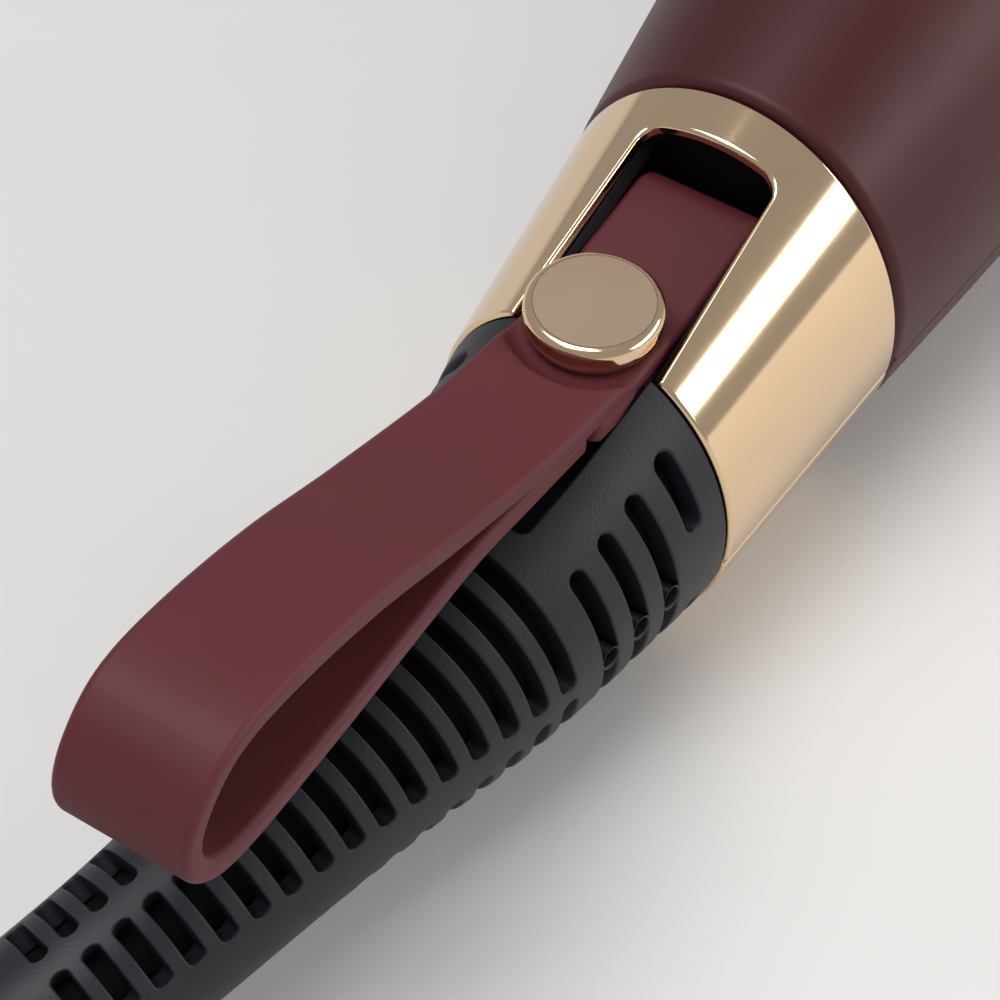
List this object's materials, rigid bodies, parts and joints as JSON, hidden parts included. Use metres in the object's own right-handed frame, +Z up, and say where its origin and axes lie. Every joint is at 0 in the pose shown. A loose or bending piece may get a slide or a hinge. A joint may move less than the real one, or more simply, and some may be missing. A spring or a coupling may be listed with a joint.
{
  "type": "curling iron",
  "caption": "Spring-clamp curling iron with an oval handle, metal end collar, moulded hang strap, slotted bent cord guard and folding stand.",
  "frame": {"origin": "middle of the tool's box without its cord, on the table plane it lies on", "axes": "+X towards the barrel tip, along the table; +Z up, the strap, buttons and clamp on the upper side"},
  "size_m": [0.4097, 0.0384, 0.0693],
  "materials": {
    "handle_shell": "soft-touch, deep burgundy",
    "collar_metal": "polished pale champagne gold plating",
    "button_metal": "satin champagne gold with a polished edge",
    "strap_silicone": "matt silicone, burgundy",
    "guard_black": "fine grain, matt black",
    "inner_plastic": "moulded, black",
    "shield_black": "fine matt heat-resistant plastic",
    "barrel_coating": "smooth ceramic coating",
    "heater_aluminium": "as extruded",
    "ceramic": "fired ceramic",
    "amber_film": "film",
    "lead_red": "silicone sleeve",
    "lead_blue": "PVC sleeve",
    "steel": "plated steel",
    "panel_black": "gloss black",
    "key_grey": "matt dark grey",
    "light_lens": "clear lens",
    "board_green": "solder resist",
    "component_black": "moulded component"
  },
  "bodies": {
    "tool": {"handle_upper_shell": "handle_shell", "handle_lower_shell": "handle_shell", "shell_screws": "steel", "end_collar_upper": "collar_metal", "end_collar_lower": "collar_metal", "collar_insert": "inner_plastic", "strap_anchor_pin": "steel", "cord_guard": "guard_black", "cord_terminal": "ceramic", "cord_clamp": "inner_plastic", "cord_clamp_screws": "steel", "heat_shield": "shield_black", "barrel": "barrel_coating", "cool_tip": "shield_black", "heater_block_upper": "heater_aluminium", "heater_block_lower": "heater_aluminium", "heater_plate": "ceramic", "heater_insulation": "amber_film", "thermal_sensor": "ceramic", "heater_leads": "lead_red", "supply_leads": "lead_blue", "clamp_pin": "steel", "clamp_spring": "steel", "stand_pin": "steel", "control_panel": "panel_black", "button_switches": "key_grey", "indicator_lights": "light_lens", "circuit_board": "board_green", "board_components": "component_black", "board_screws": "steel"},
    "clamp": {"clamp_blade": "barrel_coating", "clamp_lever": "shield_black", "clamp_rivets": "steel"},
    "stand": {"safety_stand": "shield_black"},
    "strap": {"hang_strap": "strap_silicone", "strap_button": "button_metal", "strap_stud": "steel"},
    "power_key": {"power_button": "button_metal"},
    "heat_up_key": {"heat_up_button": "key_grey"},
    "heat_down_key": {"heat_down_button": "key_grey"}
  },
  "joints": [
    {"name": "clamp_hinge", "type": "hinge", "parent": "tool", "child": "clamp", "pos_m": [0.02352, 0, 0.05446], "axis": [0, -1, 0], "range_deg": [0, 18], "stiffness_Nm_per_rad": 0.25, "springref_deg": -40.11, "deforming": ["clamp_spring"]},
    {"name": "stand_fold", "type": "hinge", "parent": "tool", "child": "stand", "pos_m": [0.02237, 0, 0.01271], "axis": [0, -1, 0], "range_deg": [0, 112]},
    {"name": "strap_swing", "type": "hinge", "parent": "tool", "child": "strap", "pos_m": [-0.12589, 0, 0.02659], "axis": [0, 1, 0], "range_deg": [0, 50]},
    {"name": "power_press", "type": "slide", "parent": "tool", "child": "power_key", "axis": [0.0495, 0, -0.9988], "range_m": [0, 0.0006], "stiffness_N_per_m": 900, "springref_m": -0.0008},
    {"name": "heat_up_press", "type": "slide", "parent": "tool", "child": "heat_up_key", "axis": [0.0495, 0, -0.9988], "range_m": [0, 0.0006], "stiffness_N_per_m": 900, "springref_m": -0.0008},
    {"name": "heat_down_press", "type": "slide", "parent": "tool", "child": "heat_down_key", "axis": [0.0495, 0, -0.9988], "range_m": [0, 0.0006], "stiffness_N_per_m": 900, "springref_m": -0.0008}
  ]
}
